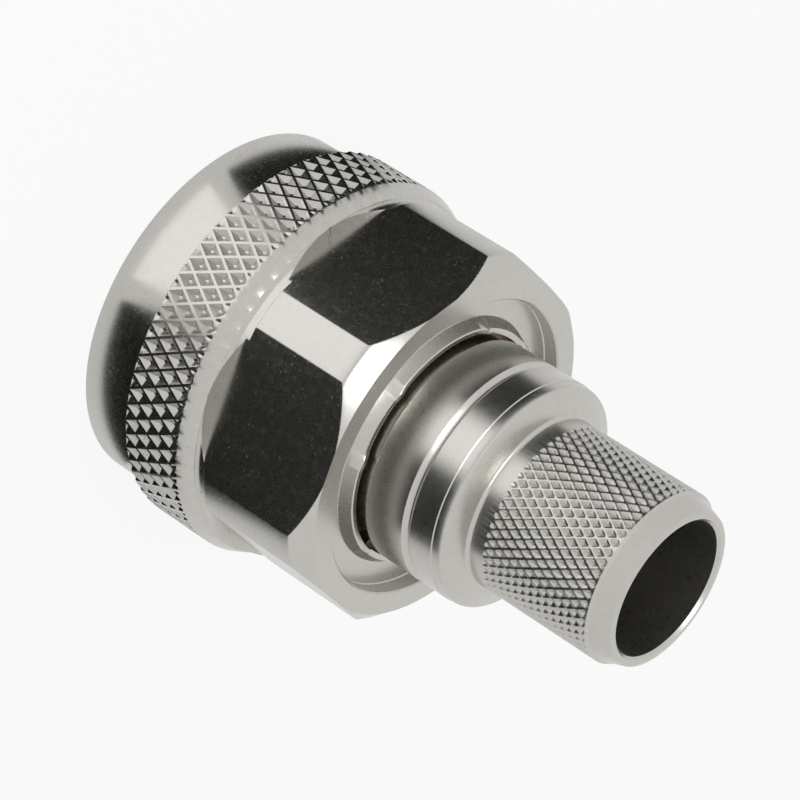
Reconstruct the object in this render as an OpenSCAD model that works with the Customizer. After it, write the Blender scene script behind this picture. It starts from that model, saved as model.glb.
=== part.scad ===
// Straight N plug for crimped coaxial cable, standing on the front face of its coupling nut.
// +Z runs along the axis from the mating end to the cable end.

/* [Coupling nut] */
// Length of the nut, from its front face to its rear rim
nut_length = 15.85; // [15:0.05:20]
// Minor diameter of the 5/8-24 coupling thread
thread_minor_d = 14.9; // [14.5:0.05:18]
// Clear length between the end of the thread and the gasket
thread_relief = 1.8; // [0.5:0.1:3]
// Length of the cone in which the thread runs out
thread_exit = 0.4; // [0.1:0.1:0.8]
// Depth of the entry chamfer ahead of the thread
entry_depth = 0.9; // [0.3:0.1:1.4]
// How far the chamber behind the thread is cut back from the thread's minor diameter
chamber_step = 0.65; // [0.5:0.05:1]
// Wall between the chamber and a wrench flat
flat_wall = 1.4; // [0.8:0.05:3]
// How far a corner of the wrench section stands above the flats
corner_height = 0.9; // [0.6:0.05:1.2]
// Length from the knurl to the full diameter of the wrench section
waist_length = 1.75; // [1.2:0.05:3]
// Depth of the turned groove ahead of the wrench section, below its corners
groove_depth = 0.3; // [0.1:0.05:0.6]
// Width of that groove
groove_width = 0.6; // [0.3:0.05:1]
// How far a flat runs forward past the front of the wrench section, at its middle
flat_overrun = 0.85; // [0.3:0.05:1.2]
// Radius of the milling cutter that made the flats
cutter_r = 11.4; // [9:0.1:16]
// Height of the plain front ring above the flats
front_ring_step = 0.45; // [0.2:0.05:1]
// Length of the plain front ring
front_ring_length = 3.65; // [2:0.05:5]
// Height of the coarse knurl above the front ring
knurl_height = 0.7; // [0.3:0.05:1]
// Width of the knurled band
knurl_width = 3.65; // [2.5:0.05:4.5]
// Width of the rear chamfer, along the radius
rim_chamfer = 0.85; // [0.3:0.05:1]
// Length of the rear chamfer, along the axis
rim_chamfer_length = 0.95; // [0.3:0.05:1.5]
// Thickness of the inner shoulder that pulls the body forward
shoulder_width = 0.8; // [0.6:0.05:1.2]
// Depth of the recess in the rear face
recess_depth = 0.92; // [0.6:0.02:1.3]
// Width of the recess, from the foot of the lip to its outer wall
recess_width = 1.36; // [0.8:0.02:1.5]
// Thickness of the thin lip closed in over the retaining ring
lip_wall = 0.32; // [0.2:0.02:0.45]
// How far the lip leans inwards from its root to its edge
lip_lean = 0.26; // [0.1:0.02:0.28]
// How far the edge of the lip lies below the rear rim
lip_below_rim = 0.2; // [0.1:0.02:0.4]
// Number of stakes in the lip
stake_count = 4; // [2:1:6]
// Angle covered by one stake
stake_span = 33; // [10:1:50]
// Angle at which the first stake starts
stake_turn = 87.5; // [0:0.5:90]
// How much further the lip leans inwards where it is staked
stake_lean = 0.06; // [0.02:0.01:0.08]

/* [Body] */
// Radial room that lets the gasket flange pass through the thread
flange_pass = 0.25; // [0.1:0.05:0.5]
// Thickness of the gasket flange
flange_width = 1.45; // [1:0.05:1.8]
// Height of the flange above the body
flange_step = 0.93; // [0.7:0.01:1.1]
// Wall of the boss that centres the gasket, round the pressed collar
boss_wall = 0.8; // [0.4:0.05:1]
// How far the front face of the boss lies behind the mating plane
boss_setback = 0.2; // [0.1:0.05:0.5]
// Depth of the groove that holds the retaining ring
ring_groove_depth = 0.52; // [0.4:0.02:0.7]
// Depth of the neck between that groove and the rear body
neck_depth = 0.27; // [0.1:0.01:0.4]
// Gap along the axis from the nut's rear rim to the rear body
rear_body_gap = 0.35; // [0.2:0.05:1]
// Length of the rear body ahead of its V groove
front_land = 2.4; // [1.5:0.05:3]
// Depth of the V groove round the rear body
v_depth = 0.22; // [0.1:0.02:0.4]
// Length of the rear body from the V groove to the rear face
rear_land = 2.1; // [1.5:0.05:3]
// Depth of the fine turned line near the rear edge
line_depth = 0.05; // [0.02:0.01:0.1]
// How far that line lies ahead of the rear edge
line_setback = 0.6; // [0.3:0.05:1]
// Length of the shallow cone on the rear face
rear_face_rise = 0.4; // [0.1:0.05:0.5]
// Radius of the fillet between the rear face and the braid tube
fillet_r = 0.25; // [0.15:0.01:0.6]

/* [Braid tube] */
// Diameter of the cable bore, clear of a 7.25 mm cable dielectric
cable_bore_d = 7.52; // [6.2:0.02:9.1]
// Wall of the braid tube, over its fine knurl
tube_wall = 1.01; // [0.6:0.01:1.2]
// Length of the braid tube behind the rear edge of the body
tube_length = 9.21; // [7:0.01:12]
// Length of the plain tapered end
taper_length = 1.2; // [0.8:0.05:2]
// Wall at the tapered end
tip_wall = 0.54; // [0.4:0.02:0.7]
// Depth of the chamfer at the mouth of the cable bore
mouth_chamfer = 0.15; // [0.05:0.05:0.3]

/* [Outer contact] */
// Outer diameter of the spring fingers
finger_d = 8.1; // [7.8:0.01:9.8]
// Wall of the spring fingers
finger_wall = 0.55; // [0.4:0.01:0.6]
// Number of slots between the spring fingers
slot_count = 4; // [2:1:6]
// Width of a slot
slot_w = 0.5; // [0.3:0.05:0.8]
// Length of a slot
slot_length = 5.5; // [3:0.1:6]
// Wall of the pressed collar, round the insulating beads
collar_wall = 0.34; // [0.3:0.05:0.8]
// Length of the collar pressed into the body
collar_length = 3.7; // [2.5:0.1:4.5]
// Distance from the contact's front edge to the mating plane at the gasket
mating_depth = 9.2; // [9:0.05:9.6]

/* [Centre contact and insulators] */
// Diameter of the centre contact's tip
pin_tip_d = 1.65; // [1.6:0.01:2]
// Set-back of the pin's point from the outer contact's front edge
pin_setback = 0.3; // [0.1:0.1:1]
// Depth of the pin's shoulder behind the outer contact's front edge
pin_shoulder_depth = 5.28; // [4:0.01:6]
// Diameter of the centre contact behind its shoulder
pin_body_d = 3.04; // [2.8:0.01:3.7]
// Height of the collar that the insulators trap, above the pin's body
pin_collar_step = 0.78; // [0.4:0.02:1]
// Thickness of that collar
pin_collar_width = 0.6; // [0.4:0.05:0.8]
// Wall of the solder pot, round the cable's 2.26 mm conductor
pot_wall = 0.32; // [0.25:0.01:0.5]
// Depth of the solder pot
pot_depth = 4.4; // [3:0.1:5]
// Diameter of the inspection hole in the solder pot
inspection_d = 0.8; // [0.5:0.05:1]
// Distance of that hole from the mouth of the pot
inspection_depth = 2.7; // [1:0.1:3.5]
// Depth behind the outer contact's front edge at which the two beads meet
bead_joint_depth = 11.7; // [11:0.05:12.5]
// Height of the shoulders that trap the beads, above the bore at each end of them
bead_shoulder = 0.5; // [0.3:0.02:0.7]
// Length of the front bead
front_bead_length = 2; // [1.2:0.1:2.2]
// Length of the rear bead
rear_bead_length = 3.4; // [2.5:0.1:4]

/* [Gasket and retaining ring] */
// Thickness of the gasket, before it is squeezed
gasket_width = 1.5; // [1.2:0.05:1.8]
// How far the gasket stands ahead of the mating plane before it is squeezed
gasket_squeeze = 0.3; // [0.1:0.05:0.5]
// How far the gasket reaches behind the thread's minor diameter, which keeps it in
gasket_hold = 0.15; // [0.05:0.05:0.4]
// Height of the seated retaining ring above the body
ring_height = 0.28; // [0.2:0.01:0.4]
// Thickness of the retaining ring
ring_width = 0.6; // [0.4:0.05:0.8]
// Gap between the ends of the split retaining ring
ring_gap = 1.2; // [0.6:0.1:2]

/* [Fits] */
// Radial running clearance of the nut on the body
running = 0.08; // [0.03:0.01:0.1]
// Radial and end clearance of the retaining ring
ring_clear = 0.07; // [0.04:0.01:0.1]
// End clearance between the flange and the nut's shoulder
end_play = 0.05; // [0.03:0.01:0.1]
// Radial clearance of the parts that are slid together by hand
assembly = 0.02; // [0.01:0.01:0.04]

/* [Hidden] */
$fn = 96;

// broken edges, from the widest to the sharpest
edge = 0.15;
fine_edge = 0.1;
sharp_edge = 0.04;
// rounded point of the centre contact
nose_tip_r = 0.25;
nose_cone = 0.6;
nose_length = 1.1;
// length of the drilled point at the bottom of the solder pot
drill_point = 0.5;
// how far a cutter runs past what it cuts, and how far a stake is rooted in the lip
overrun = 1;
stake_root = 0.1;

// heights from the rear of the nut forward, through the ring, shoulder, flange and gasket
recess_floor = nut_length - recess_depth;
lip_edge = nut_length - lip_below_rim;
ring_rear = recess_floor - ring_clear;
ring_front = ring_rear - ring_width;
shoulder_rear = ring_front - ring_clear;
shoulder_front = shoulder_rear - shoulder_width;
flange_rear = shoulder_front - end_play;
flange_front = flange_rear - flange_width;
gasket_front = flange_front - gasket_width;
mating_plane = gasket_front + gasket_squeeze;
contact_front = mating_plane - mating_depth;
thread_end = gasket_front - thread_relief;
// heights along the outside of the nut
knurl_end = front_ring_length + knurl_width;
hex_start = knurl_end + waist_length;
flat_front = hex_start - flat_overrun;
// heights behind the nut
rear_body_start = nut_length + rear_body_gap;
front_land_end = rear_body_start + front_land;
v_end = front_land_end + 2*v_depth;
rear_land_end = v_end + rear_land;
cone_end = rear_land_end + rear_face_rise;
tube_end = rear_land_end + tube_length;
taper_start = tube_end - taper_length;
// heights of the contacts and beads
collar_front = mating_plane + boss_setback;
collar_rear = collar_front + collar_length;
bead_joint = contact_front + bead_joint_depth;
bead_front = bead_joint - front_bead_length;
bead_rear = bead_joint + rear_bead_length;
pin_tip = contact_front + pin_setback;
pin_shoulder = contact_front + pin_shoulder_depth;
pin_collar_front = bead_joint - pin_collar_width;

// radii of the nut, from the thread outwards
thread_r = thread_minor_d/2;
chamber_r = thread_r + chamber_step;
flat_r = chamber_r + flat_wall;
corner_r = flat_r + corner_height;
groove_r = corner_r - groove_depth;
rim_r = corner_r - rim_chamfer;
front_ring_r = flat_r + front_ring_step;
knurl_r = front_ring_r + knurl_height;
// radii of the body, from the thread inwards, and of what turns or seats on it
flange_r = thread_r - flange_pass;
body_r = flange_r - flange_step;
ring_groove_r = body_r - ring_groove_depth;
neck_r = body_r - neck_depth;
ring_r = body_r + ring_height;
pocket_r = ring_r + ring_clear;
lip_root_r = pocket_r + lip_wall;
recess_r = lip_root_r + recess_width;
gasket_r = thread_r + gasket_hold;
// radii of the braid tube, from the cable bore outwards
bore_r = cable_bore_d/2;
braid_tube_r = bore_r + tube_wall;
tip_r = bore_r + tip_wall;
// radii of the contacts and beads
finger_r = finger_d/2;
finger_bore_r = finger_r - finger_wall;
bead_seat_r = max(bore_r, finger_bore_r) + bead_shoulder;
bead_r = bead_seat_r - assembly;
collar_r = bead_seat_r + collar_wall;
boss_r = collar_r + boss_wall;
pin_r = pin_body_d/2;
pin_tip_r = pin_tip_d/2;
pin_collar_r = pin_r + pin_collar_step;
pot_r = pin_r - pot_wall;

module turned(outline) rotate_extrude($fn = 128) polygon(outline);

// the lip's metal, pressed further in over one stretch of its edge
module stake(start)
    rotate([0, 0, start]) rotate_extrude(angle = stake_span, $fn = 128)
        polygon([[pocket_r + lip_wall/3, recess_floor + stake_root],
                 [pocket_r - lip_lean - stake_lean, lip_edge - stake_root],
                 [pocket_r - lip_lean + lip_wall/3, lip_edge - stake_root]]);

// the cutter's round path leaves each flat with a curved front end
module wrench_flat()
    translate([flat_r, 0, flat_front + cutter_r]) rotate([0, 90, 0])
        cylinder(r = cutter_r, h = corner_height + overrun);

module coupling_nut() color("silver") {
    difference() {
        turned([
            [chamber_r, 0], [front_ring_r - edge, 0], [front_ring_r, edge],
            [front_ring_r, front_ring_length], [knurl_r, front_ring_length], [knurl_r, knurl_end],
            [groove_r, hex_start - groove_width], [groove_r, hex_start - fine_edge],
            [corner_r - sharp_edge, hex_start], [corner_r, hex_start + sharp_edge],
            [corner_r, nut_length - rim_chamfer_length], [rim_r, nut_length],
            [recess_r + fine_edge, nut_length], [recess_r, nut_length - fine_edge],
            [recess_r, recess_floor], [lip_root_r, recess_floor], [lip_root_r - lip_lean, lip_edge],
            [pocket_r - lip_lean, lip_edge], [pocket_r, recess_floor],
            [pocket_r, shoulder_rear], [body_r + running, shoulder_rear],
            [body_r + running, shoulder_front], [chamber_r, shoulder_front],
            [chamber_r, thread_end], [thread_r, thread_end - thread_exit], [thread_r, entry_depth]]);
        for (i = [0:5]) rotate([0, 0, 60*i]) wrench_flat();
    }
    for (i = [0:stake_count - 1]) stake(stake_turn + i*360/stake_count);
}

module retaining_ring() color("goldenrod") difference() {
    turned([[ring_groove_r + ring_clear, ring_front], [ring_r, ring_front],
            [ring_r, ring_rear], [ring_groove_r + ring_clear, ring_rear]]);
    translate([ring_r, 0, ring_front + ring_width/2])
        cube([ring_r, ring_gap, ring_width + overrun], center = true);
}

module connector_body() color("gainsboro") turned([
    [collar_r, collar_front], [boss_r, collar_front], [boss_r, flange_front],
    [flange_r - edge, flange_front], [flange_r, flange_front + edge],
    [flange_r, flange_rear], [body_r, flange_rear], [body_r, shoulder_rear],
    [ring_groove_r, shoulder_rear], [ring_groove_r, recess_floor],
    [neck_r, recess_floor], [neck_r, rear_body_start - fine_edge],
    [body_r - fine_edge, rear_body_start - fine_edge], [body_r, rear_body_start],
    [body_r, front_land_end], [body_r - v_depth, front_land_end + v_depth],
    [body_r, v_end], [body_r, rear_land_end - line_setback - line_depth],
    [body_r - line_depth, rear_land_end - line_setback],
    [body_r - line_depth, rear_land_end - edge], [body_r - line_depth - edge, rear_land_end],
    for (a = [0:15:90]) [braid_tube_r + fillet_r*(1 - sin(a)), cone_end + fillet_r*(1 - cos(a))],
    [braid_tube_r, taper_start], [braid_tube_r - edge, taper_start + fine_edge],
    [tip_r, tube_end - edge], [tip_r - edge, tube_end],
    [bore_r + mouth_chamfer, tube_end], [bore_r, tube_end - mouth_chamfer],
    [bore_r, bead_rear], [bead_seat_r, bead_rear], [bead_seat_r, collar_rear],
    [collar_r, collar_rear]]);

module outer_contact() color("lightgray") difference() {
    turned([
        [finger_bore_r + edge, contact_front], [finger_r - edge, contact_front],
        [finger_r, contact_front + 2*edge], [finger_r, collar_front],
        [collar_r, collar_front], [collar_r, collar_rear], [bead_seat_r, collar_rear],
        [bead_seat_r, bead_front], [finger_bore_r, bead_front],
        [finger_bore_r, contact_front + edge]]);
    for (i = [0:slot_count - 1]) rotate([0, 0, 360*(i + 0.5)/slot_count])
        translate([finger_r, 0, contact_front + (slot_length - overrun)/2])
            cube([finger_r, slot_w, slot_length + overrun], center = true);
}

module front_insulator() color("white") turned([
    [pin_r + assembly, bead_front], [bead_r - edge, bead_front],
    [bead_r, bead_front + edge], [bead_r, bead_joint],
    [pin_collar_r + assembly, bead_joint], [pin_collar_r + assembly, pin_collar_front],
    [pin_r + assembly, pin_collar_front]]);

module rear_insulator() color("white") turned([
    [pin_r + assembly, bead_joint], [bead_r, bead_joint], [bead_r, bead_rear - edge],
    [bead_r - edge, bead_rear], [pin_r + assembly, bead_rear]]);

module centre_contact() color("gold") difference() {
    turned([
        [0, pin_tip], [nose_tip_r, pin_tip], [pin_tip_r - edge, pin_tip + nose_cone],
        [pin_tip_r, pin_tip + nose_length], [pin_tip_r, pin_shoulder], [pin_r - edge, pin_shoulder],
        [pin_r, pin_shoulder + edge], [pin_r, pin_collar_front],
        [pin_collar_r, pin_collar_front], [pin_collar_r, bead_joint],
        [pin_r, bead_joint], [pin_r, bead_rear], [pot_r, bead_rear],
        [pot_r, bead_rear - pot_depth], [0, bead_rear - pot_depth - drill_point]]);
    translate([0, 0, bead_rear - inspection_depth]) rotate([0, 90, 0])
        cylinder(d = inspection_d, h = pin_body_d);
}

module gasket() color("dimgray") turned([
    [boss_r + assembly, gasket_front], [gasket_r - edge, gasket_front],
    [gasket_r, gasket_front + edge], [gasket_r, flange_front - edge],
    [gasket_r - edge, flange_front], [boss_r + assembly, flange_front]]);

coupling_nut();
retaining_ring();
connector_body();
outer_contact();
front_insulator();
rear_insulator();
centre_contact();
gasket();
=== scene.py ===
import math

import bmesh
import bpy
from bpy.props import FloatProperty, FloatVectorProperty, IntProperty, PointerProperty
from mathutils import Matrix, Vector


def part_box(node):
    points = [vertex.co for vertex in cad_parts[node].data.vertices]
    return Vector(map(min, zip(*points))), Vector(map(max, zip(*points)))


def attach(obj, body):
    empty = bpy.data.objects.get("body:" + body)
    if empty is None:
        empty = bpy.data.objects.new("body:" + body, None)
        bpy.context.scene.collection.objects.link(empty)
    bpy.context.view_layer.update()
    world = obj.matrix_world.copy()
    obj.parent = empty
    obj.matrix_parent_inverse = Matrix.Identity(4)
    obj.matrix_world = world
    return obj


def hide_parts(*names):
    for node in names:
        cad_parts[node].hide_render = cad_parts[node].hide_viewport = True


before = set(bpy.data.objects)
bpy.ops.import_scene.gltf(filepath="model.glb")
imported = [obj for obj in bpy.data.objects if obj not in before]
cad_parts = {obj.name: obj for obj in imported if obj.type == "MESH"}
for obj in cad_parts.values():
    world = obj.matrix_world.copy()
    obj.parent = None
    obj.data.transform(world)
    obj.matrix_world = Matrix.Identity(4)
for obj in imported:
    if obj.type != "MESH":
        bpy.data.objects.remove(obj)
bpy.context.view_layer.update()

bl_info = {
    "name": "Coaxial plug",
    "version": (1, 0, 0),
    "blender": (4, 5, 0),
    "location": "View3D > Sidebar > Plug",
    "description": "Builds a knurled screw-on coaxial plug and its studio",
    "category": "Object",
}

NUT_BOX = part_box("coupling_nut")
BODY_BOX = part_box("connector_body")
MM = 0.001
TURN = 2*math.pi
SHARP_ANGLE = math.radians(28)
NUT_LENGTH = NUT_BOX[1].z
KNURL_RADIUS = NUT_BOX[1].y
TUBE_END = BODY_BOX[1].z


def length(name, description, default, **more):
    """A size in metres that the sidebar shows as a length."""
    return FloatProperty(name=name, description=description, default=default, unit="LENGTH",
                         precision=5, **more)


def colour(name, description, default):
    """A surface colour."""
    return FloatVectorProperty(name=name, description=description, default=default,
                               subtype="COLOR", size=3, min=0, max=1)


class KnurlSizes(bpy.types.PropertyGroup):
    lines: IntProperty(name="Lines", description="Lines of each hand round the band", default=72, min=12)
    detail: IntProperty(name="Detail", description="Mesh columns from one line to the next",
                        default=12, min=4)
    helix: FloatProperty(name="Helix", description="Angle of the lines to the axis",
                         default=math.radians(30), subtype="ANGLE")
    first_phase: FloatProperty(name="First phase", description="Place of the falling lines",
                               default=math.radians(1.4), subtype="ANGLE")
    second_phase: FloatProperty(name="Second phase", description="Place of the rising lines",
                                default=math.radians(3.93), subtype="ANGLE")
    ridge: length("Ridge", "Width left standing between two pits", 0.13*MM)
    slope: length("Slope", "Width of a pit's flank", 0.25*MM)
    depth: length("Depth", "Depth of a pit", 0.24*MM)


class FineKnurlSizes(bpy.types.PropertyGroup):
    lines: IntProperty(name="Lines", description="Lines of each hand round the tube", default=53, min=12)
    detail: IntProperty(name="Detail", description="Mesh columns from one line to the next",
                        default=8, min=4)
    helix: FloatProperty(name="Helix", description="Angle of the lines to the axis",
                         default=math.radians(30), subtype="ANGLE")
    first_phase: FloatProperty(name="First phase", description="Place of the falling lines",
                               default=math.radians(4.86), subtype="ANGLE")
    second_phase: FloatProperty(name="Second phase", description="Place of the rising lines",
                                default=math.radians(4.09), subtype="ANGLE")
    ridge: length("Ridge", "Width left standing between two pits", 0.09*MM)
    slope: length("Slope", "Width of a pit's flank", 0.2*MM)
    depth: length("Depth", "Depth of a pit", 0.15*MM)


class NutSizes(bpy.types.PropertyGroup):
    ring_radius: length("Ring radius", "Radius of the plain front ring", 9.95*MM)
    ring_length: length("Ring length", "Length of the plain front ring", 3.65*MM)
    knurl_width: length("Knurl width", "Width of the knurled band", 3.65*MM)
    groove_radius: length("Groove radius", "Radius of the groove ahead of the flats", 10.1*MM)
    groove_start: length("Groove start", "Height at which the groove starts", 8.45*MM)
    hex_start: length("Wrench section", "Height at which the wrench section starts", 9.05*MM)
    corner_radius: length("Corner radius", "Radius over the corners of the wrench section", 10.4*MM)
    flat_radius: length("Flat radius", "Distance from the axis to a flat", 9.5*MM)
    flat_front: length("Flat front", "Height of the front end of a flat", 8.2*MM)
    cutter_radius: length("Cutter radius", "Radius of the cutter's path at a flat's front end", 11.4*MM)
    rim_radius: length("Rim radius", "Radius of the rear rim", 9.55*MM)
    chamfer_length: length("Chamfer length", "Length of the rear chamfer", 0.95*MM)
    recess_radius: length("Recess radius", "Radius of the recess in the rear face", 8.3*MM)
    recess_depth: length("Recess depth", "Depth of the recess in the rear face", 0.92*MM)
    lip_radius: length("Lip radius", "Radius of the lip's foot", 6.94*MM)
    lip_wall: length("Lip wall", "Thickness of the lip", 0.32*MM)
    lip_lean: length("Lip lean", "How far the lip leans in", 0.26*MM)
    lip_drop: length("Lip drop", "How far the lip's edge lies below the rim", 0.2*MM)
    stake_turn: FloatProperty(name="Stake turn", description="Angle at which the first stake starts",
                              default=math.radians(87.5), subtype="ANGLE")
    stake_span: FloatProperty(name="Stake span", description="Angle covered by a stake",
                              default=math.radians(33), subtype="ANGLE")
    bore_radius: length("Journal radius", "Radius of the bore that runs on the body", 6.35*MM)
    shoulder_rear: length("Shoulder rear", "Height of the shoulder's rear face", 14.19*MM)
    shoulder_front: length("Shoulder front", "Height of the shoulder's front face", 13.39*MM)
    chamber_radius: length("Chamber radius", "Radius of the chamber behind the thread", 8.1*MM)
    thread_minor: length("Thread minor radius", "Radius to the thread's crests", 7.45*MM)
    thread_depth: length("Thread depth", "Depth of the thread", 0.48*MM)
    thread_pitch: length("Thread pitch", "Pitch of 24 turns to the inch", 25.4/24*MM)
    thread_start: length("Thread start", "Height at which the thread starts", 0.9*MM)
    thread_end: length("Thread end", "Height at which the thread ends", 8.2*MM)


class BodySizes(bpy.types.PropertyGroup):
    boss_front: length("Boss front", "Height of the boss's front face", BODY_BOX[0].z)
    flange_radius: length("Flange radius", "Radius of the gasket flange", BODY_BOX[1].y)
    flange_front: length("Flange front", "Height of the flange's front face", 11.89*MM)
    flange_rear: length("Flange rear", "Height of the flange's rear face", 13.34*MM)
    radius: length("Radius", "Radius of the body", 6.27*MM)
    groove_radius: length("Ring groove", "Radius at the bottom of the ring's groove", 5.75*MM)
    neck_radius: length("Neck", "Radius of the neck behind the ring", 6.0*MM)
    rear_start: length("Rear start", "Height at which the rear body starts", 16.2*MM)
    v_start: length("V groove", "Height at which the V groove starts", 18.6*MM)
    v_depth: length("V depth", "Depth of the V groove", 0.22*MM)
    rear_end: length("Rear end", "Height of the body's rear edge", 21.14*MM)
    face_rise: length("Face rise", "Length of the cone on the rear face", 0.4*MM)
    fillet: length("Fillet", "Radius between the rear face and the tube", 0.25*MM)
    tube_radius: length("Tube radius", "Radius of the braid tube", 4.77*MM)
    knurl_start: length("Knurl start", "Height at which the fine knurl starts", 22.55*MM)
    taper_start: length("Taper start", "Height at which the tapered end starts", 29.15*MM)
    tip_radius: length("Tip radius", "Radius at the tapered end", 4.3*MM)
    bore_radius: length("Cable bore", "Radius of the cable bore", 3.76*MM)
    seat_radius: length("Bead seat", "Radius of the beads' seat", 4.3*MM)
    seat_rear: length("Bead seat rear", "Height of the beads' rear shoulder", 16.59*MM)
    collar_radius: length("Collar seat", "Radius of the pressed collar's seat", 5.0*MM)
    collar_rear: length("Collar rear", "Height of the pressed collar's rear face", 14.59*MM)


class Finishes(bpy.types.PropertyGroup):
    nickel: colour("Nickel", "Satin nickel plate", (0.5, 0.49, 0.46))
    bronze: colour("Bronze", "Tarnished phosphor bronze", (0.2, 0.14, 0.09))
    white_plate: colour("White bronze", "Plate of the outer contact", (0.72, 0.71, 0.68))
    gold: colour("Gold", "Gold plate", (0.86, 0.66, 0.3))
    bead: colour("Bead", "Waxy white beads", (0.84, 0.84, 0.81))
    gasket: colour("Gasket", "Silicone rubber", (0.1, 0.1, 0.1))


class Studio(bpy.types.PropertyGroup):
    focal: FloatProperty(name="Focal length", description="Lens, in millimetres", default=168.43)
    # strength of the glowing sheet that paints a bright reflection in the metal
    bright_reflection_strength: FloatProperty(name="Reflector", description="Brightness of the white card",
                             default=1.5, min=0)
    floor_size: length("Floor size", "Side of the floor", 4.0)
    key_power: FloatProperty(name="Key power", description="Power of the main softbox", default=0.55,
                             unit="POWER")


class PlugSettings(bpy.types.PropertyGroup):
    nut: PointerProperty(type=NutSizes)
    body: PointerProperty(type=BodySizes)
    coarse: PointerProperty(type=KnurlSizes)
    fine: PointerProperty(type=FineKnurlSizes)
    finish: PointerProperty(type=Finishes)
    studio: PointerProperty(type=Studio)


# ---- meshes of revolution ----

class Shell:
    """Rings of points round the axis, joined into one closed skin."""

    def __init__(self):
        self.points = []
        self.faces = []
        self.knurl = []

    def add(self, points, knurled=False):
        start = len(self.points)
        self.points += points
        self.knurl += [1.0 if knurled else 0.0]*len(points)
        return list(range(start, start + len(points)))

    def angle(self, index):
        x, y, _ = self.points[index]
        return math.atan2(y, x) % TURN

    def join(self, a, b):
        """Faces from ring a to ring b, whatever their counts."""
        if len(a) == len(b):
            n = len(a)
            self.faces += [(a[i], a[(i + 1) % n], b[(i + 1) % n], b[i]) for i in range(n)]
            return
        ring_a = sorted((self.angle(i), i) for i in a)
        ring_b = sorted((self.angle(i), i) for i in b)
        n, m, i, j = len(ring_a), len(ring_b), 0, 0
        while i < n or j < m:
            next_a = ring_a[(i + 1) % n][0] + (TURN if i + 1 >= n else 0)
            next_b = ring_b[(j + 1) % m][0] + (TURN if j + 1 >= m else 0)
            here_a, here_b = ring_a[i % n][1], ring_b[j % m][1]
            if j >= m or (i < n and next_a <= next_b):
                self.faces.append((here_a, ring_a[(i + 1) % n][1], here_b))
                i += 1
            else:
                self.faces.append((here_a, ring_b[(j + 1) % m][1], here_b))
                j += 1

    def object(self, name):
        mesh = bpy.data.meshes.new(name)
        mesh.from_pydata(self.points, [], self.faces)
        mask = mesh.attributes.new("knurled", "FLOAT", "POINT")
        mask.data.foreach_set("value", self.knurl)
        mesh.validate()
        piece = bpy.data.objects.new(name, mesh)
        bpy.context.scene.collection.objects.link(piece)
        return piece


def circle(radius, height, count, turn=0.0):
    """Points evenly round a circle."""
    return [(radius*math.cos(turn + TURN*i/count), radius*math.sin(turn + TURN*i/count), height)
            for i in range(count)]


def close_and_smooth(piece):
    """Merges doubles, turns every face outwards and keeps edges over the sharp angle crisp."""
    mesh = bmesh.new()
    mesh.from_mesh(piece.data)
    bmesh.ops.remove_doubles(mesh, verts=mesh.verts, dist=1e-7)
    bmesh.ops.recalc_face_normals(mesh, faces=mesh.faces)
    mesh.to_mesh(piece.data)
    mesh.free()
    piece.data.shade_smooth()
    piece.data.set_sharp_from_angle(angle=SHARP_ANGLE)


def knurl_rings(shell, sizes, radius, start, end):
    """A band whose mesh columns and rows run through every crossing of its lines."""
    count = sizes.lines*sizes.detail
    step = TURN/count
    rise = step*radius/math.tan(sizes.helix)
    slope = math.tan(sizes.helix)/radius
    turn = (sizes.first_phase + sizes.second_phase)/2
    crossing = (sizes.first_phase - sizes.second_phase)/(2*slope)
    first = math.ceil((start - crossing)/rise + 0.35)
    last = math.floor((end - crossing)/rise - 0.35)
    heights = [start] + [crossing + k*rise for k in range(first, last + 1)] + [end]
    rings = [shell.add(circle(radius, z, count, turn), True) for z in heights]
    for j in range(len(rings) - 1):
        low, high = rings[j], rings[j + 1]
        row = first - 1 + j
        for i in range(count):
            k = (i + 1) % count
            falling = abs(((i + row + 1) % sizes.detail + sizes.detail/2) % sizes.detail - sizes.detail/2)
            rising = abs(((i - row) % sizes.detail + sizes.detail/2) % sizes.detail - sizes.detail/2)
            if falling < rising:
                shell.faces += [(low[i], low[k], high[i]), (low[k], high[k], high[i])]
            else:
                shell.faces += [(low[i], low[k], high[k]), (low[i], high[k], high[i])]
    return rings


# ---- geometry nodes: diamond knurl ----

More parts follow.
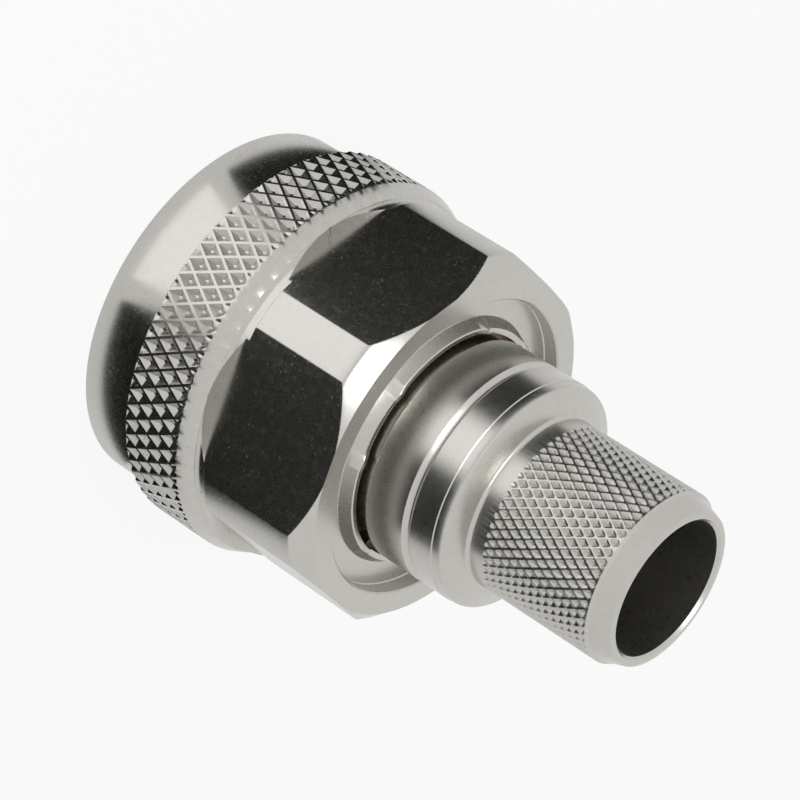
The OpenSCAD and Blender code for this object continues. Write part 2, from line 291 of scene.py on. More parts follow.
def knurl_tree():
    """Presses a diamond pattern into the band that the knurled attribute marks."""
    tree = bpy.data.node_groups.get("diamond_knurl")
    if tree:
        return tree
    tree = bpy.data.node_groups.new("diamond_knurl", "GeometryNodeTree")
    face = tree.interface
    face.new_socket("Geometry", in_out="INPUT", socket_type="NodeSocketGeometry")
    for name in ("Lines", "Radius", "Helix", "First Phase", "Second Phase",
                 "Ridge", "Slope", "Depth", "Start", "End", "Fade"):
        face.new_socket(name, in_out="INPUT", socket_type="NodeSocketFloat")
    face.new_socket("Material", in_out="INPUT", socket_type="NodeSocketMaterial")
    face.new_socket("Geometry", in_out="OUTPUT", socket_type="NodeSocketGeometry")
    nodes, links = tree.nodes, tree.links
    given = nodes.new("NodeGroupInput")
    result = nodes.new("NodeGroupOutput")

    def put(socket, value):
        if isinstance(value, (int, float)):
            socket.default_value = value
        else:
            links.new(value, socket)

    def calc(operation, *values):
        node = nodes.new("ShaderNodeMath")
        node.operation = operation
        for socket, value in zip(node.inputs, values):
            put(socket, value)
        return node.outputs[0]

    place = nodes.new("GeometryNodeInputPosition")
    split = nodes.new("ShaderNodeSeparateXYZ")
    links.new(place.outputs[0], split.inputs[0])
    x, y, z = split.outputs
    around = calc("ARCTAN2", y, x)
    pitch = calc("DIVIDE", TURN, given.outputs["Lines"])
    lean = calc("DIVIDE", calc("TANGENT", given.outputs["Helix"]), given.outputs["Radius"])
    twist = calc("MULTIPLY", z, lean)
    across = calc("MULTIPLY", calc("COSINE", given.outputs["Helix"]), given.outputs["Radius"])

    def from_line(turned, phase):
        half = calc("DIVIDE", pitch, 2.0)
        off = calc("WRAP", calc("SUBTRACT", turned, phase), half, calc("MULTIPLY", half, -1.0))
        return calc("MULTIPLY", calc("ABSOLUTE", off), across)

    nearest = calc("MINIMUM", from_line(calc("ADD", around, twist), given.outputs["First Phase"]),
                   from_line(calc("SUBTRACT", around, twist), given.outputs["Second Phase"]))
    flank = nodes.new("ShaderNodeMapRange")
    half_ridge = calc("DIVIDE", given.outputs["Ridge"], 2.0)
    put(flank.inputs["Value"], nearest)
    put(flank.inputs["From Min"], half_ridge)
    put(flank.inputs["From Max"], calc("ADD", half_ridge, given.outputs["Slope"]))
    inside = calc("MINIMUM", calc("SUBTRACT", z, given.outputs["Start"]),
                  calc("SUBTRACT", given.outputs["End"], z))
    fade = nodes.new("ShaderNodeMapRange")
    put(fade.inputs["Value"], inside)
    put(fade.inputs["From Min"], 0.0)
    put(fade.inputs["From Max"], given.outputs["Fade"])
    mark = nodes.new("GeometryNodeInputNamedAttribute")
    mark.data_type = "FLOAT"
    mark.inputs["Name"].default_value = "knurled"
    sink = calc("MULTIPLY", calc("MULTIPLY", flank.outputs[0], fade.outputs[0]),
                calc("MULTIPLY", mark.outputs["Attribute"], calc("MULTIPLY", given.outputs["Depth"], -1.0)))
    outward = nodes.new("ShaderNodeCombineXYZ")
    put(outward.inputs[0], calc("MULTIPLY", calc("COSINE", around), sink))
    put(outward.inputs[1], calc("MULTIPLY", calc("SINE", around), sink))
    move = nodes.new("GeometryNodeSetPosition")
    links.new(given.outputs["Geometry"], move.inputs["Geometry"])
    links.new(outward.outputs[0], move.inputs["Offset"])
    real = nodes.new("GeometryNodeRealizeInstances")
    links.new(move.outputs[0], real.inputs[0])
    paint = nodes.new("GeometryNodeSetMaterial")
    links.new(real.outputs[0], paint.inputs["Geometry"])
    links.new(given.outputs["Material"], paint.inputs["Material"])
    links.new(paint.outputs[0], result.inputs[0])
    return tree


def press_knurl(piece, sizes, radius, start, end, fade, material):
    """Runs the knurl tree on a piece and keeps the result as its plain mesh."""
    tree = knurl_tree()
    modifier = piece.modifiers.new("knurl", "NODES")
    modifier.node_group = tree
    wanted = {"Lines": float(sizes.lines), "Radius": radius, "Helix": sizes.helix,
              "First Phase": sizes.first_phase, "Second Phase": sizes.second_phase,
              "Ridge": sizes.ridge, "Slope": sizes.slope, "Depth": sizes.depth,
              "Start": start, "End": end, "Fade": fade, "Material": material}
    for socket in tree.interface.items_tree:
        if socket.in_out == "INPUT" and socket.name in wanted:
            modifier[socket.identifier] = wanted[socket.name]
    graph = bpy.context.evaluated_depsgraph_get()
    pressed = bpy.data.meshes.new_from_object(piece.evaluated_get(graph))
    piece.modifiers.remove(modifier)
    piece.data = pressed
    piece.data.materials.clear()
    piece.data.materials.append(material)


# ---- shader groups ----

SPECK_DEPTH = 0.005*MM

def shader_group(name, inputs, outputs):
    """A new shader node group with float inputs and the given outputs."""
    tree = bpy.data.node_groups.new(name, "ShaderNodeTree")
    for title, default in inputs:
        socket = tree.interface.new_socket(title, in_out="INPUT", socket_type="NodeSocketFloat")
        socket.default_value = default
    for title in outputs:
        tree.interface.new_socket(title, in_out="OUTPUT", socket_type="NodeSocketFloat")
    return tree, tree.nodes.new("NodeGroupInput"), tree.nodes.new("NodeGroupOutput")


def turned_lines_group():
    """Fine lathe lines round the axis, with a faint grain."""
    tree = bpy.data.node_groups.get("turned_lines")
    if tree:
        return tree
    tree, given, result = shader_group("turned_lines", [("Lines", 9000.0), ("Grain", 2500.0)],
                                       ["Lines", "Grain"])
    nodes, links = tree.nodes, tree.links
    place = nodes.new("ShaderNodeTexCoord")
    split = nodes.new("ShaderNodeSeparateXYZ")
    links.new(place.outputs["Object"], split.inputs[0])
    from_axis = nodes.new("ShaderNodeVectorMath")
    from_axis.operation = "LENGTH"
    flat = nodes.new("ShaderNodeCombineXYZ")
    links.new(split.outputs[0], flat.inputs[0])
    links.new(split.outputs[1], flat.inputs[1])
    links.new(flat.outputs[0], from_axis.inputs[0])
    total = nodes.new("ShaderNodeMath")
    total.operation = "ADD"
    links.new(from_axis.outputs["Value"], total.inputs[0])
    links.new(split.outputs[2], total.inputs[1])
    lines = nodes.new("ShaderNodeTexNoise")
    lines.noise_dimensions = "1D"
    lines.inputs["Detail"].default_value = 3
    links.new(total.outputs[0], lines.inputs["W"])
    links.new(given.outputs["Lines"], lines.inputs["Scale"])
    grain = nodes.new("ShaderNodeTexNoise")
    grain.inputs["Detail"].default_value = 4
    links.new(place.outputs["Object"], grain.inputs["Vector"])
    links.new(given.outputs["Grain"], grain.inputs["Scale"])
    links.new(lines.outputs[0], result.inputs["Lines"])
    links.new(grain.outputs[0], result.inputs["Grain"])
    return tree


def specks_group():
    """Small dents and bright flecks, sparse, in patches."""
    tree = bpy.data.node_groups.get("specks")
    if tree:
        return tree
    tree, given, result = shader_group("specks", [("Scale", 7000.0), ("Share", 0.66), ("Patches", 400.0)],
                                       ["Mask"])
    nodes, links = tree.nodes, tree.links
    place = nodes.new("ShaderNodeTexCoord")
    dots = nodes.new("ShaderNodeTexNoise")
    dots.inputs["Detail"].default_value = 2
    patches = nodes.new("ShaderNodeTexNoise")
    for noise, scale in ((dots, "Scale"), (patches, "Patches")):
        links.new(place.outputs["Object"], noise.inputs["Vector"])
        links.new(given.outputs[scale], noise.inputs["Scale"])
    shift = nodes.new("ShaderNodeMath")
    shift.operation = "MULTIPLY_ADD"
    shift.inputs[1].default_value = 0.25
    links.new(patches.outputs[0], shift.inputs[0])
    links.new(dots.outputs[0], shift.inputs[2])
    edge = nodes.new("ShaderNodeMapRange")
    links.new(shift.outputs[0], edge.inputs["Value"])
    low = nodes.new("ShaderNodeMath")
    low.operation = "ADD"
    low.inputs[1].default_value = 0.12
    links.new(given.outputs["Share"], low.inputs[0])
    high = nodes.new("ShaderNodeMath")
    high.operation = "ADD"
    high.inputs[1].default_value = 0.18
    links.new(given.outputs["Share"], high.inputs[0])
    links.new(low.outputs[0], edge.inputs["From Min"])
    links.new(high.outputs[0], edge.inputs["From Max"])
    links.new(edge.outputs[0], result.inputs["Mask"])
    return tree


def surface(name, base, metallic, rough, spread, line_height, grain_height, share, **fixed):
    """A material with turned lines, grain and specks over a Principled surface."""
    material = bpy.data.materials.new(name)
    material.use_nodes = True
    nodes, links = material.node_tree.nodes, material.node_tree.links
    shader = nodes["Principled BSDF"]
    shader.inputs["Metallic"].default_value = metallic
    for socket, value in fixed.items():
        shader.inputs[socket.replace("_", " ")].default_value = value
    turned = nodes.new("ShaderNodeGroup")
    turned.node_tree = turned_lines_group()
    specks = nodes.new("ShaderNodeGroup")
    specks.node_tree = specks_group()
    specks.inputs["Share"].default_value = share
    tint = nodes.new("ShaderNodeMix")
    tint.data_type = "RGBA"
    tint.inputs["A"].default_value = (*[c*0.93 for c in base], 1)
    tint.inputs["B"].default_value = (*[min(1, c*1.05) for c in base], 1)
    links.new(turned.outputs["Grain"], tint.inputs["Factor"])
    links.new(tint.outputs["Result"], shader.inputs["Base Color"])
    soft = nodes.new("ShaderNodeMapRange")
    soft.inputs["To Min"].default_value = rough - spread
    soft.inputs["To Max"].default_value = rough + spread
    links.new(turned.outputs["Grain"], soft.inputs["Value"])
    links.new(soft.outputs[0], shader.inputs["Roughness"])
    last = None
    for height, source in ((line_height, turned.outputs["Lines"]), (grain_height, turned.outputs["Grain"]),
                           (-SPECK_DEPTH, specks.outputs["Mask"])):
        bump = nodes.new("ShaderNodeBump")
        bump.inputs["Strength"].default_value = 1
        bump.inputs["Distance"].default_value = height
        links.new(source, bump.inputs["Height"])
        if last:
            links.new(last, bump.inputs["Normal"])
        last = bump.outputs[0]
    links.new(last, shader.inputs["Normal"])
    return material


# ---- the coupling nut ----

SECTORS = 6
FLAT_COLUMNS = 7
CORNER_COLUMNS = 5
EDGE_ROUND = 0.05*MM


def nut_surface(nut, z):
    """Radius of the turned outside of the wrench section, before its flats are cut."""
    knurl_end = nut.ring_length + nut.knurl_width
    chamfer = NUT_LENGTH - nut.chamfer_length
    stops = [(knurl_end, KNURL_RADIUS), (nut.groove_start, nut.groove_radius),
             (nut.hex_start - 0.1*MM, nut.groove_radius), (nut.hex_start, nut.corner_radius - 0.03*MM),
             (nut.hex_start + 0.04*MM, nut.corner_radius), (chamfer - 0.04*MM, nut.corner_radius),
             (chamfer + 0.05*MM, nut.corner_radius - 0.04*MM), (NUT_LENGTH, nut.rim_radius)]
    for (z0, r0), (z1, r1) in zip(stops, stops[1:]):
        if z <= z1:
            return r0 + (r1 - r0)*(z - z0)/(z1 - z0)
    return nut.rim_radius


def hex_ring(nut, z):
    """One ring of the wrench section: six flats with rounded edges, joined by turned corners."""
    radius = nut_surface(nut, z)
    centre = nut.flat_front + nut.cutter_radius
    arc = math.sqrt(max(nut.cutter_radius**2 - (centre - z)**2, 0)) if z < centre else nut.cutter_radius
    meet = math.sqrt(radius**2 - nut.flat_radius**2)
    wall = arc < meet
    half = min(arc, meet)
    soft = min(EDGE_ROUND, 0.4*half)
    outer = math.asin((half + soft)/radius)
    rim = (radius*math.cos(outer), half + soft)
    if wall:
        step = math.sqrt(radius**2 - half**2)
        bends = [(nut.flat_radius + 0.2*(step - nut.flat_radius), half),
                 (nut.flat_radius + 0.85*(step - nut.flat_radius), half)]
    else:
        start, corner = (nut.flat_radius, half - soft), (nut.flat_radius, half)
        bends = []
        for t in (1/3, 2/3):
            weights = ((1 - t)**2, 2*t*(1 - t), t*t)
            bends.append(tuple(sum(w*p[k] for w, p in zip(weights, (start, corner, rim))) for k in (0, 1)))
    side = [(nut.flat_radius, (half - soft)*k/FLAT_COLUMNS) for k in range(1, FLAT_COLUMNS + 1)]
    side += bends + [rim]
    side += [(radius*math.cos(a), radius*math.sin(a))
             for a in (outer + (math.pi/SECTORS - outer)*k/CORNER_COLUMNS
                       for k in range(1, CORNER_COLUMNS + 1))]
    outline = [(x, -y) for x, y in reversed(side[:-1])] + [(nut.flat_radius, 0.0)] + side
    points = []
    for s in range(SECTORS):
        c, q = math.cos(TURN*s/SECTORS), math.sin(TURN*s/SECTORS)
        points += [(x*c - y*q, x*q + y*c, z) for x, y in outline]
    return points


def staked(nut, angle):
    """1 inside a stake, 0 outside it, with short ramps."""
    spacing = TURN/4
    off = (angle - nut.stake_turn) % spacing
    ramp = math.radians(2.5)
    return max(0.0, min(1.0, off/ramp, (nut.stake_span - off)/ramp))


def nub(nut, angle):
    """Height of the burr raised at each end of a stake."""
    spacing = TURN/4
    off = (angle - nut.stake_turn) % spacing
    wide = math.radians(3.2)
    return sum(math.exp(-((off - end)/wide)**2) for end in (0.0, nut.stake_span, spacing))


def lip_ring(nut, radius, height, lean, rise, count=360):
    """A ring of the lip, pressed in by the stakes and raised at their ends."""
    points = []
    for i in range(count):
        a = TURN*i/count
        r = radius - lean*(1 + 0.35*staked(nut, a))
        z = height + rise*(nub(nut, a)*0.09*MM - staked(nut, a)*0.05*MM)
        points.append((r*math.cos(a), r*math.sin(a), z))
    return points


def thread(shell, nut, count=216, rows=10):
    """The coupling thread: one profile swept along its helix. Returns its front and rear rings."""
    pitch = nut.thread_pitch
    turns = int((nut.thread_end - nut.thread_start)/pitch) - 1
    base = nut.thread_start + 0.5*pitch
    profile = []
    for k in range(rows):
        share = k/rows
        rise = min(max((0.5 - abs(share - 0.5))*2*1.35 - 0.12, 0), 1)
        profile.append((share*pitch, rise))

    def point(column, turn, k):
        share, rise = profile[k]
        angle = TURN*column/count
        z = base + share + pitch*(turn + column/count)
        end = min((z - base)/pitch, (base + pitch*(turns + 1) - z)/pitch, 0.8)/0.8
        r = nut.thread_minor + nut.thread_depth*rise*max(end, 0)
        return (r*math.cos(angle), r*math.sin(angle), z)

    grid = [[shell.add([point(c, t, k) for c in range(count)]) for k in range(rows)] for t in range(turns)]
    lines = [line for turn in grid for line in turn]
    closing = shell.add([point(c, turns, 0) for c in range(count)])
    lines.append(closing)
    for low, high in zip(lines, lines[1:]):
        shell.faces += [(low[c], low[c + 1], high[c + 1], high[c]) for c in range(count - 1)]
    for j in range(len(lines) - 1 - rows):
        low, high = lines[j], lines[j + 1]
        shell.faces.append((low[-1], lines[j + rows][0], lines[j + rows + 1][0], high[-1]))
    front = shell.add(circle(nut.thread_minor, nut.thread_start, count))
    rear = shell.add(circle(nut.thread_minor, nut.thread_end, count))
    shell.faces += [(front[c], front[c + 1], lines[0][c + 1], lines[0][c]) for c in range(count - 1)]
    shell.faces.append((front[-1], front[0], *[lines[k][0] for k in range(rows + 1)], lines[0][-1]))
    shell.faces += [(closing[c], closing[c + 1], rear[c + 1], rear[c]) for c in range(count - 1)]
    tail = [lines[-1 - rows + k] for k in range(rows + 1)]
    seam = [line[-1] for line in reversed(tail[:-1])]
    shell.faces.append((rear[-1], closing[-1], *seam, tail[-1][0], rear[0]))
    return front, rear


def build_nut(nut, coarse, material):
    """The whole coupling nut as one closed skin."""
    shell = Shell()
    knurl_end = nut.ring_length + nut.knurl_width
    count = 360
    plain = [(nut.ring_radius - 0.15*MM, 0), (nut.ring_radius - 0.04*MM, 0.04*MM),
             (nut.ring_radius, 0.15*MM), (nut.ring_radius, nut.ring_length - 0.03*MM),
             (nut.ring_radius + 0.05*MM, nut.ring_length), (KNURL_RADIUS - 0.1*MM, nut.ring_length)]
    rings = [shell.add(circle(r, z, count)) for r, z in plain]
    first = rings[0]
    for a, b in zip(rings, rings[1:]):
        shell.join(a, b)
    band = knurl_rings(shell, coarse, KNURL_RADIUS, nut.ring_length + 0.08*MM, knurl_end - 0.05*MM)
    shell.join(rings[-1], band[0])
    start = nut.flat_front + 0.0004*MM
    heights = [knurl_end + 0.05*MM, knurl_end + 0.4*MM, nut.flat_front - 0.02*MM]
    last = band[-1]
    for z in heights:
        ring = shell.add(circle(nut_surface(nut, z), z, count))
        shell.join(last, ring)
        last = ring
    opening = [start + d*MM for d in (0, 0.005, 0.02, 0.05, 0.1, 0.16, 0.25, 0.33, 0.42, 0.53, 0.64, 0.75)]
    chamfer = NUT_LENGTH - nut.chamfer_length
    middle = [nut.hex_start + d*MM for d in (0.0, 0.04, 0.12)]
    middle += [nut.hex_start + 0.12*MM + (chamfer - nut.hex_start - 0.16*MM)*k/8 for k in range(1, 9)]
    rear = [chamfer + 0.05*MM]
    rear += [chamfer + 0.05*MM + (nut.chamfer_length - 0.05*MM)*k/9 for k in range(1, 10)]
    for z in opening + middle + rear:
        ring = shell.add(hex_ring(nut, z))
        shell.join(last, ring)
        last = ring
    floor = NUT_LENGTH - nut.recess_depth
    edge = NUT_LENGTH - nut.lip_drop
    inner = nut.lip_radius - nut.lip_wall
    for r, z in ((nut.rim_radius - 0.2*MM, NUT_LENGTH), (nut.recess_radius + 0.08*MM, NUT_LENGTH),
                 (nut.recess_radius, NUT_LENGTH - 0.08*MM), (nut.recess_radius, floor + 0.06*MM),
                 (nut.recess_radius - 0.06*MM, floor), (nut.lip_radius + 0.05*MM, floor)):
        ring = shell.add(circle(r, z, count))
        shell.join(last, ring)
        last = ring
    round_over = 0.05*MM
    for radius, z, lean, rise in ((nut.lip_radius, floor + 0.05*MM, 0.0, 0),
                                  (nut.lip_radius, edge - round_over, nut.lip_lean*0.93, 0.6),
                                  (nut.lip_radius - round_over, edge, nut.lip_lean, 1),
                                  (inner + round_over, edge, nut.lip_lean, 1),
                                  (inner, edge - round_over, nut.lip_lean*0.93, 0.6),
                                  (inner, floor, 0.0, 0)):
        ring = shell.add(lip_ring(nut, radius, z, lean, rise, count))
        shell.join(last, ring)
        last = ring
    for r, z in ((inner, nut.shoulder_rear), (nut.bore_radius, nut.shoulder_rear),
                 (nut.bore_radius, nut.shoulder_front), (nut.chamber_radius, nut.shoulder_front),
                 (nut.chamber_radius, nut.thread_end + 0.4*MM)):
        ring = shell.add(circle(r, z, 180))
        shell.join(last, ring)
        last = ring
    thread_front, thread_rear = thread(shell, nut)
    shell.join(last, thread_rear)
    mouth = shell.add(circle(nut.chamber_radius, 0.0, 216))
    shell.join(thread_front, mouth)
    shell.join(mouth, first)
    piece = shell.object("nut")
    close_and_smooth(piece)
    press_knurl(piece, coarse, KNURL_RADIUS, nut.ring_length, knurl_end, 0.12*MM, material)
    piece.data.set_sharp_from_angle(angle=SHARP_ANGLE)
    return piece


# ---- the body ----

# hidden sizes of the body
GROOVE_FRONT, GROOVE_REAR, BOSS_WALL = 14.19*MM, 14.93*MM, 0.6*MM


def build_body(body, fine, material):
    """The whole connector body as one closed skin."""
    shell = Shell()
    small, wide = 0.05*MM, 0.15*MM
    cone = body.rear_end + body.face_rise
    front = [(body.collar_radius, body.boss_front), (body.collar_radius + BOSS_WALL, body.boss_front),
             (body.collar_radius + BOSS_WALL, body.flange_front),
             (body.flange_radius - wide, body.flange_front),
             (body.flange_radius, body.flange_front + wide), (body.flange_radius, body.flange_rear),
             (body.radius, body.flange_rear), (body.radius, GROOVE_FRONT),
             (body.groove_radius, GROOVE_FRONT), (body.groove_radius, GROOVE_REAR),
             (body.neck_radius, GROOVE_REAR),
             (body.neck_radius, body.rear_start - 0.1*MM), (body.radius - 0.1*MM, body.rear_start - 0.1*MM),
             (body.radius - 0.03*MM, body.rear_start - small), (body.radius, body.rear_start + small),
             (body.radius, body.v_start - small), (body.radius - 0.03*MM, body.v_start),
             (body.radius - body.v_depth, body.v_start + body.v_depth - 0.03*MM),
             (body.radius - body.v_depth, body.v_start + body.v_depth + 0.03*MM),
             (body.radius - 0.03*MM, body.v_start + 2*body.v_depth),
             (body.radius, body.v_start + 2*body.v_depth + small),
             (body.radius, body.rear_end - 0.65*MM), (body.radius - small, body.rear_end - 0.6*MM),
             (body.radius - small, body.rear_end - 0.2*MM),
             (body.radius - 0.09*MM, body.rear_end - 0.08*MM), (body.radius - 0.2*MM, body.rear_end)]
    front += [(body.tube_radius + body.fillet*(1 - math.sin(a)), cone + body.fillet*(1 - math.cos(a)))
              for a in (math.radians(d) for d in range(0, 91, 15))]
    count = fine.lines*4
    last = first = shell.add(circle(*front[0], count))
    for r, z in front[1:]:
        ring = shell.add(circle(r, z, count))
        shell.join(last, ring)
        last = ring
    band = knurl_rings(shell, fine, body.tube_radius, body.knurl_start, body.taper_start)
    shell.join(last, band[0])
    last = band[-1]
    wall = [(body.tube_radius - 0.05*MM, body.taper_start + 0.03*MM),
            (body.tube_radius - wide, body.taper_start + 0.1*MM),
            (body.tip_radius, TUBE_END - 0.15*MM), (body.tip_radius - 0.04*MM, TUBE_END - 0.04*MM),
            (body.tip_radius - 0.15*MM, TUBE_END), (body.bore_radius + 0.15*MM, TUBE_END),
            (body.bore_radius, TUBE_END - 0.15*MM), (body.bore_radius, body.seat_rear),
            (body.seat_radius, body.seat_rear), (body.seat_radius, body.collar_rear),
            (body.collar_radius, body.collar_rear)]
    for r, z in wall:
        ring = shell.add(circle(r, z, count))
        shell.join(last, ring)
        last = ring
    shell.join(last, first)
    piece = shell.object("body")
    close_and_smooth(piece)
    press_knurl(piece, fine, body.tube_radius, body.knurl_start, body.taper_start, 0.1*MM, material)
    piece.data.set_sharp_from_angle(angle=SHARP_ANGLE)
    return piece


# ---- the studio ----

# dark sheets that lie round the plug and paint dark reflections in the metal: name, first and last azimuth
# in degrees
DARK_REFLECTION_SHEETS = (("dark_reflection_right", -68, 4), ("dark_reflection_left", -186, -124))
# a glowing sheet that paints a bright reflection in the metal: name, first and last azimuth in degrees
BRIGHT_REFLECTION_SHEET = ("bright_reflection_front", -116, -76)
CARD_NEAR, CARD_FAR, CARD_HEIGHT = 10.8*MM, 110*MM, 0.02*MM

CAMERA_PLACE = Vector((15.9754, -162.5816, 107.5054))*MM
CAMERA_RIGHT = Vector((-0.578873, 0.367976, 0.727667))
CAMERA_UP = Vector((-0.810611, -0.356442, -0.464606))


def make_camera(studio):
    data = bpy.data.cameras.new("camera")
    data.lens = studio.focal
    data.sensor_width = 36
    data.clip_start, data.clip_end = 0.005, 20
    camera = bpy.data.objects.new("camera", data)
    bpy.context.scene.collection.objects.link(camera)
    back = CAMERA_RIGHT.cross(CAMERA_UP)
    camera.matrix_world = Matrix.Translation(CAMERA_PLACE) @ Matrix(
        (CAMERA_RIGHT, CAMERA_UP, back)).transposed().to_4x4()
    bpy.context.scene.camera = camera


def plane(name, points, material):
    mesh = bpy.data.meshes.new(name)
    mesh.from_pydata(points, [], [tuple(range(len(points)))])
    mesh.materials.append(material)
    piece = bpy.data.objects.new(name, mesh)
    bpy.context.scene.collection.objects.link(piece)
    return piece


def seen_white(nodes, links):
    """1 for rays from the camera, a mirror or glass, 0 for the others."""
    path = nodes.new("ShaderNodeLightPath")
    total = path.outputs["Is Camera Ray"]
    for name in ("Is Glossy Ray", "Is Transmission Ray"):
        node = nodes.new("ShaderNodeMath")
        node.operation = "MAXIMUM"
        links.new(total, node.inputs[0])
        links.new(path.outputs[name], node.inputs[1])
        total = node.outputs[0]
    return total


def floor_material():
    """Pale floor, near white, that still takes the plug's shadow."""
    material = bpy.data.materials.new("pale_floor")
    material.use_nodes = True
    nodes, links = material.node_tree.nodes, material.node_tree.links
    paint = nodes["Principled BSDF"]
    paint.inputs["Base Color"].default_value = (0.8, 0.8, 0.8, 1)
    paint.inputs["Roughness"].default_value = 0.9
    paint.inputs["Specular IOR Level"].default_value = 0
    glow = nodes.new("ShaderNodeEmission")
    mix = nodes.new("ShaderNodeMixShader")
    part = nodes.new("ShaderNodeMath")
    part.operation = "MULTIPLY"
    part.inputs[1].default_value = 0.88
    links.new(seen_white(nodes, links), part.inputs[0])
    links.new(part.outputs[0], mix.inputs[0])
    links.new(paint.outputs[0], mix.inputs[1])
    links.new(glow.outputs[0], mix.inputs[2])
    links.new(mix.outputs[0], nodes["Material Output"].inputs["Surface"])
    return material


def dark_reflection_material():
    """Painted dark reflection: a black sheet that only mirrors see."""
    material = bpy.data.materials.new("painted_dark_reflection")
    material.use_nodes = True
    shader = material.node_tree.nodes["Principled BSDF"]
    shader.inputs["Base Color"].default_value = (0.02, 0.02, 0.018, 1)
    shader.inputs["Roughness"].default_value = 1
    shader.inputs["Specular IOR Level"].default_value = 0
    return material


def bright_reflection_material(strength):
    """Painted bright reflection: a glowing white sheet that only mirrors see; it is no lamp."""
    material = bpy.data.materials.new("painted_bright_reflection")
    material.use_nodes = True
    nodes, links = material.node_tree.nodes, material.node_tree.links
    glow = nodes.new("ShaderNodeEmission")
    glow.inputs["Strength"].default_value = strength
    links.new(glow.outputs[0], nodes["Material Output"].inputs["Surface"])
    return material


def sector(near, far, low, high, steps=12):
    """A flat fan between two radii and two azimuths, just above the floor."""
    angles = [math.radians(low + (high - low)*k/steps) for k in range(steps + 1)]
    points = [(near*math.cos(a), near*math.sin(a), CARD_HEIGHT) for a in angles]
    return points + [(far*math.cos(a), far*math.sin(a), CARD_HEIGHT) for a in reversed(angles)]


def make_world():
    world = bpy.data.worlds.new("white_room")
    bpy.context.scene.world = world
    world.use_nodes = True
    nodes, links = world.node_tree.nodes, world.node_tree.links
    light = nodes["Background"]
    light.inputs[0].default_value = (1, 1, 1, 1)
    amount = nodes.new("ShaderNodeMapRange")
    amount.inputs["To Min"].default_value = 0.55
    amount.inputs["To Max"].default_value = 1.0
    links.new(seen_white(nodes, links), amount.inputs["Value"])
    links.new(amount.outputs[0], light.inputs["Strength"])


def settings():
    return bpy.context.scene.plug


class PLUG_OT_stage(bpy.types.Operator):
    """Make the camera, the pale floor, the soft light and the sheets that paint dark and bright reflections
    in the metal
    """
    bl_idname = "plug.stage"
    bl_label = "Stage"

    def execute(self, context):
        studio = settings().studio
        make_camera(studio)
        context.scene.view_settings.view_transform = "Standard"
        make_world()
        half = studio.floor_size/2
        corners = [(-half, -half, 0), (half, -half, 0), (half, half, 0), (-half, half, 0)]
        plane("floor", corners, floor_material())
        dark = dark_reflection_material()
        bright = bright_reflection_material(studio.bright_reflection_strength)
        for name, low, high, finish in (*((*card, dark) for card in DARK_REFLECTION_SHEETS), (*BRIGHT_REFLECTION_SHEET, bright)):
            card = plane(name, sector(CARD_NEAR, CARD_FAR, low, high), finish)
            # the sheets are hidden from the camera, from diffuse light and from shadows, so they only paint
            # reflections in the metal
            card.visible_camera = card.visible_diffuse = card.visible_shadow = False
        lamp = bpy.data.lights.new("softbox", "AREA")
        lamp.shape, lamp.size = "DISK", 0.25
        lamp.energy = studio.key_power
        box = bpy.data.objects.new("softbox", lamp)
        context.scene.collection.objects.link(box)
        box.location = (-0.05, -0.25, 0.4)
        box.rotation_mode = "QUATERNION"
        box.rotation_quaternion = (box.location - Vector((0, 0, 0.015))).to_track_quat("Z", "Y")
        return {"FINISHED"}


class PLUG_OT_nut(bpy.types.Operator):
    """Make the knurled coupling nut with its flats, staked lip and thread"""
    bl_idname = "plug.nut"
    bl_label = "Coupling nut"

    def execute(self, context):
        plug = settings()
        nickel = surface("nut_nickel", plug.finish.nickel, 1.0, 0.27, 0.03, 0.0009*MM, 0.0008*MM, 0.69)
        piece = build_nut(plug.nut, plug.coarse, nickel)
        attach(piece, "nut")
        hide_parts("coupling_nut")
        return {"FINISHED"}


class PLUG_OT_body(bpy.types.Operator):
    """Make the connector body with its V groove, rear face and knurled braid tube"""
    bl_idname = "plug.body"
    bl_label = "Connector body"

    def execute(self, context):
        plug = settings()
        nickel = surface("body_nickel", plug.finish.nickel, 1.0, 0.28, 0.03, 0.0012*MM, 0.0006*MM, 0.74)
        piece = build_body(plug.body, plug.fine, nickel)
        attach(piece, "connector")
        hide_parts("connector_body")
        return {"FINISHED"}


def finish_node(node, material):
    """Gives a CAD node its finish."""
    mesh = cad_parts[node].data
    mesh.materials.clear()
    mesh.materials.append(material)


class PLUG_OT_contacts(bpy.types.Operator):
    """Finish the outer contact and the centre contact"""
    bl_idname = "plug.contacts"
    bl_label = "Contacts"

    def execute(self, context):
        finish = settings().finish
        finish_node("outer_contact", surface("contact_plating", finish.white_plate, 1.0, 0.2, 0.04,
                                             0.003*MM, 0.002*MM, 0.7))
        finish_node("centre_contact", surface("gold_plating", finish.gold, 1.0, 0.18, 0.04,
                                              0.003*MM, 0.002*MM, 0.75))
        return {"FINISHED"}


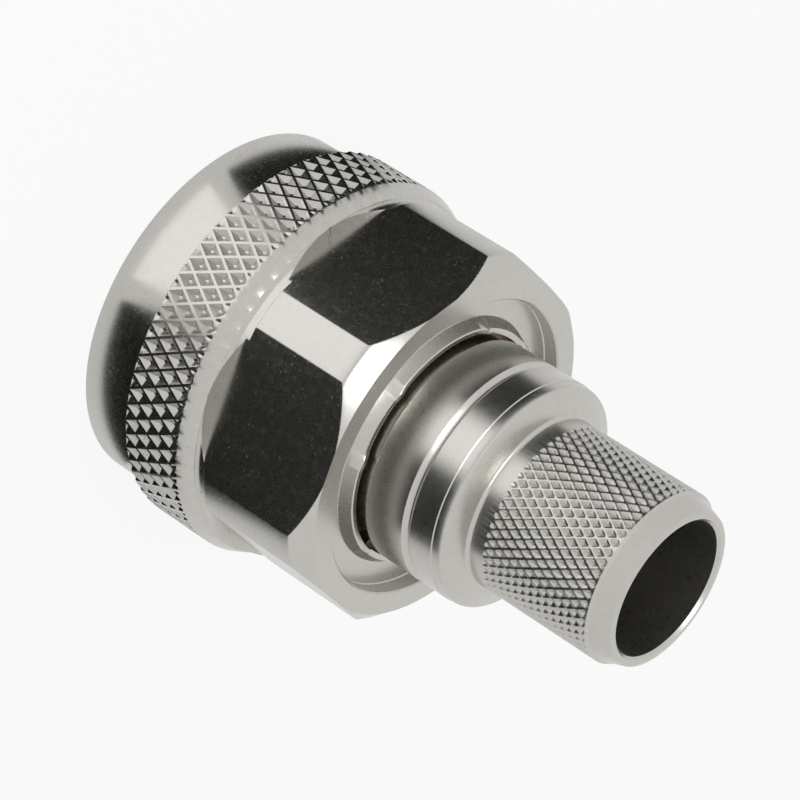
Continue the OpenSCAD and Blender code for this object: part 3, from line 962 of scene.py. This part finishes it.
class PLUG_OT_beads(bpy.types.Operator):
    """Finish the two insulating beads"""
    bl_idname = "plug.beads"
    bl_label = "Insulating beads"

    def execute(self, context):
        waxy = surface("ptfe", settings().finish.bead, 0.0, 0.42, 0.05, 0.004*MM, 0.004*MM, 0.8,
                       Subsurface_Weight=0.15, Subsurface_Scale=0.0005)
        for node in ("front_insulator", "rear_insulator"):
            finish_node(node, waxy)
        return {"FINISHED"}


class PLUG_OT_seals(bpy.types.Operator):
    """Finish the gasket and the retaining ring"""
    bl_idname = "plug.seals"
    bl_label = "Gasket and retaining ring"

    def execute(self, context):
        finish = settings().finish
        finish_node("gasket", surface("silicone", finish.gasket, 0.0, 0.62, 0.08, 0.0, 0.01*MM, 0.6))
        finish_node("retaining_ring", surface("spring_bronze", finish.bronze, 1.0, 0.35, 0.05,
                                              0.004*MM, 0.004*MM, 0.65))
        return {"FINISHED"}


STEPS = (PLUG_OT_stage, PLUG_OT_nut, PLUG_OT_body, PLUG_OT_contacts, PLUG_OT_beads, PLUG_OT_seals)


class PLUG_PT_panel(bpy.types.Panel):
    bl_label = "Coaxial plug"
    bl_idname = "PLUG_PT_panel"
    bl_space_type = "VIEW_3D"
    bl_region_type = "UI"
    bl_category = "Plug"

    def draw(self, context):
        for step in STEPS:
            self.layout.operator(step.bl_idname)
        plug = context.scene.plug
        for group in (plug.nut, plug.coarse, plug.body, plug.fine, plug.finish, plug.studio):
            box = self.layout.box()
            for name in group.__annotations__:
                box.prop(group, name)


CLASSES = (KnurlSizes, FineKnurlSizes, NutSizes, BodySizes, Finishes, Studio, PlugSettings,
           *STEPS, PLUG_PT_panel)


def register():
    for item in CLASSES:
        bpy.utils.register_class(item)
    bpy.types.Scene.plug = PointerProperty(type=PlugSettings)


def unregister():
    del bpy.types.Scene.plug
    for item in reversed(CLASSES):
        bpy.utils.unregister_class(item)


def main():
    register()
    for step in STEPS:
        group, name = step.bl_idname.split(".")
        getattr(getattr(bpy.ops, group), name)()


if __name__ == "__main__":
    main()
